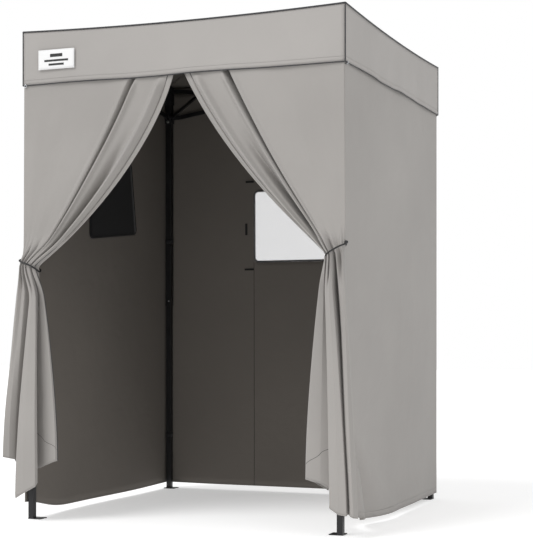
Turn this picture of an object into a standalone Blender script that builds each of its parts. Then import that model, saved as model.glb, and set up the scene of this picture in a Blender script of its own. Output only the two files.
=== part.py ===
"""Pop-up privacy shower tent: a folding square frame, a pyramid canopy, three walls and two tied-back curtains.

The frame has four telescoping legs. Each side has two lop-sided scissors of four bars, and a roof strut runs
from each corner's slider to a hub under the peak. All four sides are one side turned a quarter turn at a time.

A corner's own frame has its leg at x = y = 0, the next corner along +x, the last corner along +y, and z up, so
the middle of the tent lies on its (+x, +y) diagonal.
"""

import math

import bmesh
import bpy
from mathutils import Matrix, Vector
from mathutils.geometry import tessellate_polygon

# Driving dimensions, in metres
SIDE = 1.47  # canopy, seen from above
EAVE = 2.12
PEAK = 2.26
LEG_INSET = 0.028  # leg's middle behind the canopy's edge
LEG = 0.030  # outer leg, square tube
INNER_LEG = 0.025
PIVOT_Z = 2.09  # top pivots, and the hub's
RISE = math.radians(8.5)  # slope of the bars when the frame is up
SIDE_REACH = 0.053  # leg's middle to its side pivots
STRUT_REACH = 0.0446  # leg's middle to its strut pivot, along the diagonal
VALANCE = 0.233
FLARE = 0.075  # how far the gathered curtains stand out past the canopy's front edge

GAP = 0.0005
CLOTH = 0.003
BAR_WIDTH = 0.020
BAR_THICK = 0.008
LUG_THICK = 0.004
LAYER = LUG_THICK / 2 + GAP + BAR_THICK / 2  # a bar's middle from the plane of its side
PIN = 0.003
PIN_HOLE = 0.0034
PIN_HEAD = 0.0055
HEAD_THICK = 0.002
SEGMENTS = 10

SLEEVE = 0.037  # brackets and sliders, outside
SLEEVE_BORE = LEG + 2 * GAP
SLIDER_ABOVE = 0.012  # slider above and below its pivots
SLIDER_BELOW = 0.031
BRACKET_LOW = 2.02
BRACKET_TOP = 2.116
OUTER_LEG_LOW = 0.96
OUTER_LEG_TOP = 2.112
INNER_LEG_TOP = 1.18
OUTER_WALL = 0.0012
INNER_WALL = 0.0015
FOOT = 0.059
FOOT_THICK = 0.004
BUTTON_Z = 0.985
BUTTON = 0.0042
LATCH_DROP = 0.022  # latch below the slider's pivots
HUB_BLOCK = 0.018
CAP = 0.050

# Worked out from them
HALF = SIDE / 2
CORNER = HALF - LEG_INSET
BAR_RUN = CORNER - SIDE_REACH
BAR = BAR_RUN / math.cos(RISE)  # pivot to pivot
CROSS = BAR / math.sqrt(2)  # a bar's leg end to its scissor pivot
STRUT = 2 * CROSS
HUB_REACH = math.sqrt(2) * SIDE_REACH - STRUT_REACH
SLIDER_Z = PIVOT_Z - 2 * CROSS * math.sin(RISE)
MIDDLE_Y = FLARE / 2  # puts the whole tent's box over the origin
WALL_IN = CORNER + SLEEVE / 2 + 0.002
WALL_OUT = WALL_IN + CLOTH
HEM = 0.03
WALL_TOP = 2.085

# Cloth details
BACK_WINDOW = (-0.228, 1.19, 0.228, 1.544)  # along its wall and up, lower corner then upper
LEFT_WINDOW = (-0.135, 1.28, 0.321, 1.64)
LABEL = (-0.655, 1.9475, -0.479, 2.0325)
TIE_Z = {"left": 1.101, "right": 1.125}
TIE_HALF = 0.025  # height of the gathered neck, either way from its tie
BUNDLE = (0.655, 0.735, 0.072)  # the neck's inner and outer edge from the middle, and its depth
TIE_CORD = (0.002, 0.004)  # thickness and height

CORNERS = ("back_left", "front_left", "front_right", "back_right")
SIDES = ("left", "front", "right", "back")


# Materials


def material(name, colour, roughness, metallic=0.0):
    made = bpy.data.materials.new(name)
    made.use_nodes = True
    shader = made.node_tree.nodes["Principled BSDF"]
    shader.inputs["Base Color"].default_value = (*colour, 1.0)
    shader.inputs["Roughness"].default_value = roughness
    shader.inputs["Metallic"].default_value = metallic
    return made


# Solids as lists of points and faces


def arc(x, y, radius, start, end, steps):
    turns = [start + (end - start) * i / steps for i in range(steps + 1)]
    return [(x + radius * math.cos(t), y + radius * math.sin(t)) for t in turns]


def circle(x, y, radius, steps=SEGMENTS):
    return arc(x, y, radius, 0, 2 * math.pi, steps)[:-1]


def rectangle(low_x, low_y, high_x, high_y):
    return [(low_x, low_y), (high_x, low_y), (high_x, high_y), (low_x, high_y)]


def strip_faces(first, second, count):
    """Faces between two closed loops of points, numbered from first and from second."""
    return [
        (first + i, first + (i + 1) % count, second + (i + 1) % count, second + i)
        for i in range(count)
    ]


def plate(outline, low, high, holes=(), studs=()):
    """An outline in x and z, thick from y = low to y = high.

    A hole is a loop of points. A stud is (x, z, side, profile), and its profile is a list of (radius, y) from the
    plate's face outward.
    """
    points, faces = [], []
    starts = {}

    def add_loop(key, loop, y):
        starts[key] = len(points)
        points.extend(Vector((x, y, z)) for x, z in loop)

    for y, side in ((low, -1), (high, 1)):
        loops = {"outline": outline}
        loops.update({("hole", i): hole for i, hole in enumerate(holes)})
        for i, (x, z, facing, profile) in enumerate(studs):
            if facing == side:
                loops["stud", i] = circle(x, z, profile[0][0])
        first = len(points)
        for key, loop in loops.items():
            add_loop((side, key), loop, y)
        flat = [[Vector((x, z, 0)) for x, z in loop] for loop in loops.values()]
        faces.extend(tuple(first + n for n in face) for face in tessellate_polygon(flat))

    for key, loop in [("outline", outline)] + [(("hole", i), hole) for i, hole in enumerate(holes)]:
        faces.extend(strip_faces(starts[-1, key], starts[1, key], len(loop)))
    for i, (x, z, facing, profile) in enumerate(studs):
        last = starts[facing, ("stud", i)]
        for radius, y in profile[1:]:
            start = len(points)
            points.extend(Vector((a, y, b)) for a, b in circle(x, z, radius))
            faces.extend(strip_faces(last, start, SEGMENTS))
            last = start
        faces.append(tuple(range(last, last + SEGMENTS)))
    return points, faces


def box(low, high):
    return plate(rectangle(low[0], low[2], high[0], high[2]), low[1], high[1])


def loft(rings):
    """A closed solid through loops of points, all of one length."""
    points = [Vector(p) for ring in rings for p in ring]
    count = len(rings[0])
    faces = [tuple(range(count)), tuple(range(len(points) - count, len(points)))]
    for i in range(len(rings) - 1):
        faces.extend(strip_faces(i * count, (i + 1) * count, count))
    return points, faces


def turned(profile, steps=24):
    """A solid of revolution round z, from (radius, z) pairs."""
    return loft([[(x, y, z) for x, y in circle(0, 0, radius, steps)] for radius, z in profile])


def moved(solid, matrix):
    points, faces = solid
    return [matrix @ p for p in points], faces


def along_x(solid):
    """Turns a solid made round z to lie along x."""
    return moved(solid, Matrix.Rotation(math.pi / 2, 4, "Y"))


def on_diagonal(solid, offset=0.0):
    """Turns a plate of the x-z plane onto the corner's diagonal, offset sideways."""
    turn = Matrix.Rotation(math.pi / 4, 4, "Z")
    return moved(solid, turn @ Matrix.Translation((0, offset, 0)))


def across(solid):
    """Turns a plate of the x-z plane into the y-z plane, its +y side facing -x."""
    return moved(solid, Matrix.Rotation(math.pi / 2, 4, "Z"))


# Objects


def corner_matrix(corner):
    """A corner's frame in the tent's."""
    turn = Matrix.Rotation(-math.pi / 2 + corner * math.pi / 2, 4, "Z")
    return Matrix.Translation((0, MIDDLE_Y, 0)) @ turn @ Matrix.Translation((-CORNER, -CORNER, 0))


def mesh_of(name, solid):
    mesh = bpy.data.meshes.new(name)
    shape = bmesh.new()
    points = [shape.verts.new(p) for p in solid[0]]
    for face in solid[1]:
        shape.faces.new([points[i] for i in face])
    bmesh.ops.triangulate(shape, faces=[f for f in shape.faces if len(f.verts) > 4])
    bmesh.ops.recalc_face_normals(shape, faces=shape.faces)
    shape.to_mesh(mesh)
    shape.free()
    return mesh


def combined(name, base, added=(), cut=()):
    """One mesh: base with each added solid joined on and each cut solid taken away."""
    scene = bpy.context.scene.collection
    made = bpy.data.objects.new(name, mesh_of(name, base))
    scene.objects.link(made)
    tools = []
    for operation, solids in (("UNION", added), ("DIFFERENCE", cut)):
        for solid in solids:
            tool = bpy.data.objects.new(name + "_tool", mesh_of(name + "_tool", solid))
            scene.objects.link(tool)
            tools.append(tool)
            change = made.modifiers.new("shape", "BOOLEAN")
            change.operation = operation
            change.solver = "EXACT"
            change.object = tool
    bpy.context.view_layer.update()
    result = bpy.data.meshes.new_from_object(made.evaluated_get(bpy.context.evaluated_depsgraph_get()))
    for old in [made, *tools]:
        bpy.data.objects.remove(old)
    return result


def add(name, mesh, paint, corner=None, origin=(0, 0, 0)):
    """A named object. Its mesh is in the corner's frame, or the tent's, and its origin goes to a point there."""
    origin = Vector(origin)
    mesh = mesh.copy()
    mesh.transform(Matrix.Translation(-origin))
    mesh.materials.clear()
    mesh.materials.append(paint)
    mesh.shade_smooth()
    mesh.set_sharp_from_angle(angle=math.radians(35))
    made = bpy.data.objects.new(name, mesh)
    bpy.context.scene.collection.objects.link(made)
    place = Matrix.Translation((0, MIDDLE_Y, 0)) if corner is None else corner_matrix(corner)
    made.matrix_world = place @ Matrix.Translation(origin)
    return made


# Frame


def stadium(start, end, width):
    """The outline of a flat bar with round ends, from start to end in x and z."""
    slope = math.atan2(end[1] - start[1], end[0] - start[0])
    quarter = math.pi / 2
    first = arc(*start, width / 2, slope + quarter, slope + 3 * quarter, 6)
    return first + arc(*end, width / 2, slope - quarter, slope + quarter, 6)


def rivet(x, z, side, face, reach):
    """A pivot's stud from a face, through a neighbour that ends at reach, with a head beyond it."""
    head = reach + side * GAP
    profile = [(PIN, face), (PIN, head), (PIN_HEAD, head), (PIN_HEAD, head + side * HEAD_THICK)]
    return x, z, side, profile


def flat_bar(start, end, layer, holes, studs=()):
    """A bar in one of a side's two layers: -1 outside, 1 inside."""
    middle = layer * LAYER
    reach = -layer * (LAYER + BAR_THICK / 2)
    face = middle - layer * BAR_THICK / 2
    return plate(
        stadium(start, end, BAR_WIDTH),
        middle - BAR_THICK / 2,
        middle + BAR_THICK / 2,
        [circle(x, z, PIN_HOLE) for x, z in holes],
        [rivet(x, z, -layer, face, reach) for x, z in studs],
    )


def side_bars(side, paint):
    """The four bars between one corner and the next. a bars start at this corner's leg and b bars at the next."""
    near, far = SIDE_REACH, 2 * CORNER - SIDE_REACH
    drop, cross_drop = BAR * math.sin(RISE), CROSS * math.sin(RISE)
    cross_x = near + CROSS * math.cos(RISE)
    low = (CORNER, PIVOT_Z - drop)
    high = (CORNER, SLIDER_Z + drop)
    cross_a = (cross_x, PIVOT_Z - cross_drop)
    cross_b = (2 * CORNER - cross_x, PIVOT_Z - cross_drop)
    top_a, top_b = (near, PIVOT_Z), (far, PIVOT_Z)
    slide_a, slide_b = (near, SLIDER_Z), (far, SLIDER_Z)
    bars = {
        "a_fall": (flat_bar(top_a, low, -1, [top_a], [cross_a, low]), top_a),
        "a_rise": (flat_bar(slide_a, high, 1, [slide_a, cross_a], [high]), cross_a),
        "b_fall": (flat_bar(low, top_b, 1, [top_b, low], [cross_b]), low),
        "b_rise": (flat_bar(high, slide_b, -1, [slide_b, cross_b, high]), cross_b),
    }
    if SIDES[side] == "back":  # this side's chain starts at its b end
        bars["a_fall"] = (bars["a_fall"][0], low)
    if SIDES[side] in ("back", "right"):
        bars["b_fall"] = (bars["b_fall"][0], top_b)
    for name, (solid, (x, z)) in bars.items():
        add(f"bar_{SIDES[side]}_{name}", mesh_of(name, solid), paint, side, (x, 0, z))


def lug(z, side):
    """A bracket's ear for a side bar, with its rivet towards y = side."""
    inside = SLEEVE_BORE / 2 + 0.001
    round_end = 0.011
    outline = [(inside, z - round_end), *arc(SIDE_REACH, z, round_end, -math.pi / 2, math.pi / 2, 6)]
    outline.append((inside, z + round_end))
    face = side * LUG_THICK / 2
    stud = rivet(SIDE_REACH, z, side, face, side * (LAYER + BAR_THICK / 2))
    return plate(outline, -LUG_THICK / 2, LUG_THICK / 2, studs=[stud])


def fork(start, pivot, z):
    """Two cheeks and a pin that hold a roof strut on the diagonal."""
    cheek, inner = 0.002, BAR_THICK / 2 + GAP
    tall = 0.0085
    outline = [(start, z - tall), *arc(pivot, z, tall, -math.pi / 2, math.pi / 2, 6), (start, z + tall)]
    cheeks = [plate(outline, low, low + cheek) for low in (inner, -inner - cheek)]
    pin_end = inner + cheek + 0.0015
    pin = plate(circle(pivot, z, PIN), -pin_end, pin_end)
    return [on_diagonal(solid) for solid in (*cheeks, pin)]


def stub(radius, x_low, x_high, z, y=0.0):
    """A short round bar along x."""
    rod = along_x(turned([(radius, x_low), (radius, x_high)], SEGMENTS))
    return moved(rod, Matrix.Translation((0, y, z)))


def top_bracket_mesh():
    half, bore = SLEEVE / 2, SLEEVE_BORE / 2
    body = box((-half, -half, BRACKET_LOW), (half, half, BRACKET_TOP))
    lugs = [lug(PIVOT_Z, -1), across(lug(PIVOT_Z, -1))]
    rivets = [stub(0.0035, half - 0.001, half + 0.001, z) for z in (2.033, 2.060)]
    rivets += [across(rivet_head) for rivet_head in rivets]
    hollow = box((-bore, -bore, BRACKET_LOW - 0.01), (bore, bore, OUTER_LEG_TOP + GAP))
    return combined("top_bracket", body, lugs + rivets, [hollow])


def slider_mesh():
    half, bore = SLEEVE / 2, SLEEVE_BORE / 2
    low, high = SLIDER_Z - SLIDER_BELOW, SLIDER_Z + SLIDER_ABOVE
    body = box((-half, -half, low), (half, half, high))
    lugs = [lug(SLIDER_Z, 1), across(lug(SLIDER_Z, 1))]
    cheeks = fork(0.0185, STRUT_REACH, SLIDER_Z)
    hollow = box((-bore, -bore, low - 0.01), (bore, bore, high + 0.01))
    latch_hole = stub(PIN_HOLE, 0.010, 0.025, SLIDER_Z - LATCH_DROP)
    return combined("slider", body, lugs + cheeks, [hollow, latch_hole])


def latch_mesh():
    """A spring pull pin with a round knob. Its tip stops short of the leg."""
    half = SLEEVE / 2
    knob = half + 0.001
    profile = [(PIN, LEG / 2 + 0.0008), (PIN, knob), (0.007, knob), (0.0075, knob + 0.002)]
    profile += [(0.0075, knob + 0.005), (0.006, knob + 0.0065)]
    return mesh_of("latch", moved(along_x(turned(profile, 14)), Matrix.Translation((0, 0, SLIDER_Z - LATCH_DROP))))


def outer_leg_mesh():
    half, bore = LEG / 2, LEG / 2 - OUTER_WALL
    body = box((-half, -half, OUTER_LEG_LOW), (half, half, OUTER_LEG_TOP))
    hollow = box((-bore, -bore, OUTER_LEG_LOW - 0.01), (bore, bore, OUTER_LEG_TOP + 0.01))
    return combined("outer_leg", body, cut=[hollow, stub(0.0055, 0.008, 0.02, BUTTON_Z)])


def inner_leg_mesh():
    """The lower tube, welded to a foot plate with a stake hole."""
    half, bore = INNER_LEG / 2, INNER_LEG / 2 - INNER_WALL
    body = box((-half, -half, 0.001), (half, half, INNER_LEG_TOP))
    stake = moved(turned([(0.0045, -0.01), (0.0045, 0.02)], 12), Matrix.Translation((0.032, 0.032, 0)))
    foot = box((-half - 0.0005, -half - 0.0005, 0), (FOOT - half, FOOT - half, FOOT_THICK))
    hollow = box((-bore, -bore, FOOT_THICK + 0.001), (bore, bore, INNER_LEG_TOP + 0.01))
    return combined("inner_leg", foot, [body], [hollow, stub(BUTTON + 0.0004, 0.008, 0.02, BUTTON_Z), stake])


def button_mesh():
    """The leg's snap button, with a flange inside the tube."""
    flange = INNER_LEG / 2 - INNER_WALL - GAP
    profile = [(0.006, flange - 0.002), (0.006, flange), (BUTTON, flange), (BUTTON, 0.0128), (0.003, 0.0132)]
    return mesh_of("button", moved(along_x(turned(profile, 12)), Matrix.Translation((0, 0, BUTTON_Z))))


def strut_mesh():
    near = (STRUT_REACH, SLIDER_Z)
    far = (STRUT_REACH + STRUT * math.cos(RISE), PIVOT_Z)
    solid = plate(
        stadium(near, far, BAR_WIDTH * 0.8),
        -BAR_THICK / 2,
        BAR_THICK / 2,
        [circle(x, z, PIN_HOLE) for x, z in (near, far)],
    )
    return mesh_of("strut", on_diagonal(solid))


def hub_mesh():
    """The block that the four struts meet in, with a post and a mushroom cap that carries the canopy's peak."""
    top = PEAK - CLOTH - 0.008
    block, post = 0.014, 0.009
    profile = [(HUB_BLOCK, PIVOT_Z - block), (HUB_BLOCK, PIVOT_Z + block), (post, PIVOT_Z + block)]
    profile += [(post, top - 0.022), (CAP, top - 0.018), (CAP * 0.9, top - 0.008), (CAP * 0.5, top)]
    arms = []
    for quarter in range(4):
        turn = Matrix.Rotation(quarter * math.pi / 2, 4, "Z")
        arms += [moved(solid, turn) for solid in fork(0.0115, HUB_REACH, PIVOT_Z)]
    return combined("hub", turned(profile, 22), arms)


def build_frame():
    black = material("frame_black", (0.012, 0.012, 0.013), 0.45, 0.2)
    plastic = material("bracket_plastic", (0.014, 0.014, 0.015), 0.5)
    steel = material("latch_steel", (0.55, 0.55, 0.56), 0.3, 1.0)
    outer, inner, bracket = outer_leg_mesh(), inner_leg_mesh(), top_bracket_mesh()
    slider, strut, button, latch = slider_mesh(), strut_mesh(), button_mesh(), latch_mesh()
    strut_pivot = STRUT_REACH / math.sqrt(2)
    for corner, name in enumerate(CORNERS):
        leg_pivot = (SIDE_REACH, 0, PIVOT_Z) if name == "back_right" else (0, SIDE_REACH, PIVOT_Z)
        add(f"outer_leg_{name}", outer, black, corner, leg_pivot)
        add(f"top_bracket_{name}", bracket, plastic, corner, leg_pivot)
        add(f"inner_leg_{name}", inner, black, corner)
        add(f"snap_button_{name}", button, steel, corner, (0, 0, BUTTON_Z))
        add(f"slider_{name}", slider, plastic, corner, (SIDE_REACH, 0, SLIDER_Z))
        add(f"slider_latch_{name}", latch, steel, corner, (0, 0, SLIDER_Z - LATCH_DROP))
        add(f"roof_strut_{name}", strut, black, corner, (strut_pivot, strut_pivot, SLIDER_Z))
    for side in range(4):
        side_bars(side, black)
    hub_pivot = -HUB_REACH / math.sqrt(2)
    add("roof_hub", hub_mesh(), plastic, origin=(hub_pivot, -hub_pivot, PIVOT_Z))


# Cloth, as plain closed solids


def roof_panel_mesh():
    """One triangle of the roof, over the side from this corner to the next."""
    seam = GAP / 2
    slope = (PEAK - EAVE) / HALF
    edge = LEG_INSET
    outline = [(-edge + seam, -edge), (2 * CORNER + edge - seam, -edge), (CORNER, CORNER - seam)]
    top = [(x, y, EAVE + slope * (y + edge)) for x, y in outline]
    bottom = [(x, y, z - CLOTH) for x, y, z in top]
    return mesh_of("roof", loft([bottom, top]))


def valance_mesh():
    low, high = EAVE - VALANCE, EAVE - CLOTH - GAP
    inside = HALF - CLOTH
    body = box((-HALF, -HALF, low), (HALF, HALF, high))
    return combined("valance", body, cut=[box((-inside, -inside, low - 0.01), (inside, inside, high + 0.01))])


def wall(low_x, high_x, window=None):
    """A wall in the x-z plane, and the panel in its window."""
    outline = rectangle(low_x, HEM, high_x, WALL_TOP)
    if window is None:
        return plate(outline, WALL_IN, WALL_OUT), None
    low, low_z, high, high_z = window
    hole = rectangle(low, low_z, high, high_z)
    panel = rectangle(low + GAP, low_z + GAP, high - GAP, high_z - GAP)
    return plate(outline, WALL_IN, WALL_OUT, [hole]), plate(panel, WALL_IN + 0.001, WALL_IN + 0.002)


def build_walls(cloth, mesh_cloth):
    """Back wall along x, and side walls turned to face left and right. A window's place is along its own wall."""
    back, back_panel = wall(-WALL_OUT, WALL_OUT, BACK_WINDOW)
    add("wall_back", mesh_of("wall", back), cloth)
    add("window_back", mesh_of("window", back_panel), mesh_cloth)
    front_end, back_end = -CORNER - 0.017, WALL_IN - GAP
    to_left = Matrix.Rotation(math.pi / 2, 4, "Z")
    to_right = Matrix.Rotation(-math.pi / 2, 4, "Z")
    left, left_panel = wall(front_end, back_end, LEFT_WINDOW)
    add("wall_left", mesh_of("wall", moved(left, to_left)), cloth)
    add("window_left", mesh_of("window", moved(left_panel, to_left)), mesh_cloth)
    right, _ = wall(-back_end, -front_end)
    add("wall_right", mesh_of("wall", moved(right, to_right)), cloth)


def curtain_ring(inner, outer, depth, z, hand):
    """The curtain's outline at one height: its inner and outer edge from the middle, and how thick it hangs."""
    low, high = sorted((hand * inner, hand * outer))
    return [(x, y, z) for x, y in rectangle(low, -WALL_IN - depth, high, -WALL_IN)]


def build_curtain(hand, cloth, cord):
    """A front curtain, flat under the valance, gathered at its tie and flared below it."""
    name = "left" if hand < 0 else "right"
    tie = TIE_Z[name]
    shape = [
        (0.56, 0.800, FLARE + HALF - WALL_IN, HEM + 0.01),
        (0.60, 0.770, 0.080, 0.60),
        (*BUNDLE, tie - TIE_HALF),
        (*BUNDLE, tie + TIE_HALF),
        (0.42, WALL_OUT, 0.050, 1.45),
        (0.10, WALL_OUT, 0.012, 1.80),
        (0.002, WALL_OUT, CLOTH, EAVE - VALANCE - 0.005),
        (0.002, WALL_OUT, CLOTH, WALL_TOP),
    ]
    rings = [curtain_ring(*row, hand) for row in shape]
    add(f"curtain_{name}", mesh_of("curtain", loft(rings)), cloth)
    build_tie(name, hand, cord)


def build_tie(name, hand, cord):
    """A flat elastic loop round the gathered curtain."""
    thick, tall = TIE_CORD
    inner, outer, depth = BUNDLE
    low, high = sorted((hand * (inner - GAP), hand * (outer + GAP)))
    near, far = -WALL_IN + GAP, -WALL_IN - depth - GAP
    loop = rectangle(low, far, high, near)
    around = rectangle(low - thick, far - thick, high + thick, near + thick)
    ring = plate(around, -tall / 2, tall / 2, [loop])
    lay_flat = Matrix(((1, 0, 0, 0), (0, 0, 1, 0), (0, 1, 0, 0), (0, 0, 0, 1)))
    place = Matrix.Translation((0, 0, TIE_Z[name])) @ lay_flat
    add(f"curtain_tie_{name}", mesh_of("tie", moved(ring, place)), cord)


def build_cloth():
    cloth = material("canopy_cloth", (0.40, 0.385, 0.365), 0.85)
    mesh_cloth = material("window_mesh", (0.62, 0.62, 0.60), 0.7)
    cord = material("tie_cord", (0.02, 0.02, 0.02), 0.7)
    patch = material("label_patch", (0.75, 0.75, 0.74), 0.6)
    roof = roof_panel_mesh()
    for side, name in enumerate(SIDES):
        add(f"roof_{name}", roof, cloth, side)
    add("valance", valance_mesh(), cloth)
    build_walls(cloth, mesh_cloth)
    for hand in (-1, 1):
        build_curtain(hand, cloth, cord)
    low_x, low_z, high_x, high_z = LABEL
    label = box((low_x, -HALF - GAP - 0.001, low_z), (high_x, -HALF - GAP, high_z))
    add("label_patch", mesh_of("label", label), patch)


def main():
    for old in list(bpy.data.objects):
        bpy.data.objects.remove(old)
    build_frame()
    build_cloth()


main()
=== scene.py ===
"""Looks of the pop-up privacy shower tent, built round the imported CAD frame.

Cloth pieces are sheets of points, made thick by Solidify with a light outside and a dark inside. Places come
from the frame's boxes. The front faces -Y, and a curtain is described from the doorway's middle outward.
"""

import math

import bmesh
import bpy
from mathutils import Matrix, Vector, noise


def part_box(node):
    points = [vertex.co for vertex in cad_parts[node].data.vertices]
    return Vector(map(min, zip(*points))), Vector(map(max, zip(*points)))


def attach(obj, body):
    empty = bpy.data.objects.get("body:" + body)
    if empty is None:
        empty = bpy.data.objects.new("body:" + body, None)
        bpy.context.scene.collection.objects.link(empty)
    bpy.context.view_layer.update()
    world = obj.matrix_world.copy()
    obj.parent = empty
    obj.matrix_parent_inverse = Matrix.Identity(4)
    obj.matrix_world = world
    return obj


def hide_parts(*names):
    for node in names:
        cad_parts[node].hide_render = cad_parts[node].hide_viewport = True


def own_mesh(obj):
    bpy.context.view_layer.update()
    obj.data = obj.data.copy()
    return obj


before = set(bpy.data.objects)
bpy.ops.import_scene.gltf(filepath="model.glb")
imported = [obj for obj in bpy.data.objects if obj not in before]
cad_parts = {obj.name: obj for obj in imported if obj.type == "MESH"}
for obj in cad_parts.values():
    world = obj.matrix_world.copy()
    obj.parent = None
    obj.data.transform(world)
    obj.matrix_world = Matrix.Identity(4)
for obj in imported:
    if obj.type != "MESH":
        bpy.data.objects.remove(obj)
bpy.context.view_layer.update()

# Places, from the frame

VALANCE_LOW, VALANCE_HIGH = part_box("valance")
HALF = VALANCE_HIGH.x
MIDDLE_Y = (VALANCE_LOW.y + VALANCE_HIGH.y) / 2
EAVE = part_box("roof_front")[0].z + 0.003
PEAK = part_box("roof_front")[1].z
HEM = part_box("wall_back")[0].z
WALL_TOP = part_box("wall_back")[1].z
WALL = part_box("wall_back")[1].y - MIDDLE_Y  # outer face of the walls and curtains, from the tent's middle

CORNERS = ("back_left", "front_left", "front_right", "back_right")
SIDES = ("left", "front", "right", "back")
LEFT_CORNERS = {"left": "back_left", "front": "front_left", "right": "front_right", "back": "back_right"}
EAVE_SAG = 0.014
CLOTH = 0.0012  # thickness
STITCH = 0.0006  # radius of a line of stitching
ROLL = 0.0018  # radius of a rolled hem
PROUD = 0.0005  # how far trim stands off its cloth


# Materials


def nodes_of(name):
    made = bpy.data.materials.new(name)
    made.use_nodes = True
    tree = made.node_tree
    return made, tree, tree.nodes["Principled BSDF"]


def link(tree, source, output, target, socket):
    tree.links.new(source.outputs[output], target.inputs[socket])


def add_node(tree, kind, **values):
    node = tree.nodes.new(kind)
    for key, value in values.items():
        if key in node.inputs:
            node.inputs[key].default_value = value
        else:
            setattr(node, key, value)
    return node


def blend_colours(tree, factor, output, first, second):
    """A ramp from one colour to another, driven by a texture."""
    ramp = tree.nodes.new("ShaderNodeValToRGB")
    ramp.color_ramp.elements[0].position = 0.3
    ramp.color_ramp.elements[1].position = 0.7
    ramp.color_ramp.elements[0].color = (*first, 1)
    ramp.color_ramp.elements[1].color = (*second, 1)
    link(tree, factor, output, ramp, "Fac")
    return ramp


def shades(colour, vary):
    """A colour a little darker and a little lighter."""
    return tuple(c * (1 - vary) for c in colour), tuple(c * (1 + vary) for c in colour)


def fabric(name, colour, vary=0.05, roughness=0.72, sheen=0.12, wrinkle=0.35):
    """Coated polyester: a fine plain weave, soft handling creases and slight shade changes."""
    made, tree, shader = nodes_of(name)
    place = tree.nodes.new("ShaderNodeTexCoord")
    cloud = add_node(tree, "ShaderNodeTexNoise", Scale=1.7, Detail=3.0, Roughness=0.5)
    link(tree, place, "Object", cloud, "Vector")
    shade = blend_colours(tree, cloud, "Fac", *shades(colour, vary))
    link(tree, shade, "Color", shader, "Base Color")
    shader.inputs["Roughness"].default_value = roughness
    shader.inputs["Sheen Weight"].default_value = sheen
    shader.inputs["Sheen Roughness"].default_value = 0.4
    shader.inputs["Specular IOR Level"].default_value = 0.35
    crease = add_node(tree, "ShaderNodeTexNoise", Scale=5.0, Detail=4.0, Roughness=0.55, Distortion=0.6)
    link(tree, place, "Object", crease, "Vector")
    soft = add_node(tree, "ShaderNodeBump", Strength=wrinkle, Distance=0.012)
    link(tree, crease, "Fac", soft, "Height")
    warp = add_node(tree, "ShaderNodeTexWave", Scale=260.0, bands_direction="Z")
    weft = add_node(tree, "ShaderNodeTexWave", Scale=260.0, bands_direction="DIAGONAL")
    for threads in (warp, weft):
        link(tree, place, "Object", threads, "Vector")
    weave = add_node(tree, "ShaderNodeMath", operation="MAXIMUM")
    tree.links.new(warp.outputs["Fac"], weave.inputs[0])
    tree.links.new(weft.outputs["Fac"], weave.inputs[1])
    fine = add_node(tree, "ShaderNodeBump", Strength=0.12, Distance=0.0004)
    link(tree, weave, "Value", fine, "Height")
    link(tree, soft, "Normal", fine, "Normal")
    link(tree, fine, "Normal", shader, "Normal")
    return made


def coated(name, colour, roughness, metallic, grain, strength, vary=0.25):
    """Powder coat, plastic or zinc: a fine grain over slightly uneven gloss."""
    made, tree, shader = nodes_of(name)
    place = tree.nodes.new("ShaderNodeTexCoord")
    cloud = add_node(tree, "ShaderNodeTexNoise", Scale=18.0, Detail=4.0)
    link(tree, place, "Object", cloud, "Vector")
    shade = blend_colours(tree, cloud, "Fac", *shades(colour, vary))
    link(tree, shade, "Color", shader, "Base Color")
    gloss = add_node(tree, "ShaderNodeMapRange")
    gloss.inputs["To Min"].default_value = roughness - 0.06
    gloss.inputs["To Max"].default_value = roughness + 0.08
    link(tree, cloud, "Fac", gloss, "Value")
    link(tree, gloss, "Result", shader, "Roughness")
    shader.inputs["Metallic"].default_value = metallic
    speck = add_node(tree, "ShaderNodeTexNoise", Scale=grain, Detail=2.0)
    link(tree, place, "Object", speck, "Vector")
    bump = add_node(tree, "ShaderNodeBump", Strength=strength, Distance=0.0004)
    link(tree, speck, "Fac", bump, "Height")
    link(tree, bump, "Normal", shader, "Normal")
    return made


def window_film(name):
    """Fine pale mesh over clear film, which lets most of the light through."""
    made, tree, shader = nodes_of(name)
    place = tree.nodes.new("ShaderNodeTexCoord")
    cloud = add_node(tree, "ShaderNodeTexNoise", Scale=6.0, Detail=2.0)
    link(tree, place, "Object", cloud, "Vector")
    shade = blend_colours(tree, cloud, "Fac", (0.80, 0.80, 0.84), (0.88, 0.88, 0.91))
    link(tree, shade, "Color", shader, "Base Color")
    shader.inputs["Roughness"].default_value = 0.35
    shader.inputs["Alpha"].default_value = 0.22
    return made


OUTSIDE = fabric("cloth_outside", (0.322, 0.306, 0.291))
# The canopy's cloth is the walls' cloth made about a tenth lighter. This is painted light, standing in for
# the stronger light that falls on the valance and roof.
CANOPY_PAINTED_LIGHTER = fabric("canopy_outside_painted_lighter", (0.362, 0.345, 0.330))
INSIDE = fabric("cloth_inside", (0.160, 0.144, 0.127), roughness=0.8, sheen=0.05)
PIPING = fabric("piping", (0.040, 0.040, 0.043), roughness=0.6)
BLACK_MESH = fabric("black_mesh", (0.006, 0.006, 0.007), roughness=0.75, wrinkle=0.1)
WEBBING = fabric("webbing", (0.012, 0.012, 0.013), roughness=0.8, wrinkle=0.1)
CORD = coated("elastic_cord", (0.012, 0.012, 0.013), 0.55, 0.0, 900.0, 0.5)
POWDER = coated("powder_coat", (0.010, 0.010, 0.011), 0.42, 0.1, 700.0, 0.35)
NYLON = coated("moulded_nylon", (0.013, 0.013, 0.014), 0.5, 0.0, 400.0, 0.25)
ZINC = coated("zinc", (0.52, 0.53, 0.55), 0.32, 1.0, 250.0, 0.2, 0.08)
FILM = window_film("window_film")
LABEL = fabric("label_cloth", (0.80, 0.80, 0.80), vary=0.02, roughness=0.55, wrinkle=0.1)
LABEL_MARK = fabric("label_mark", (0.03, 0.03, 0.03), roughness=0.6, wrinkle=0.1)


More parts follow.
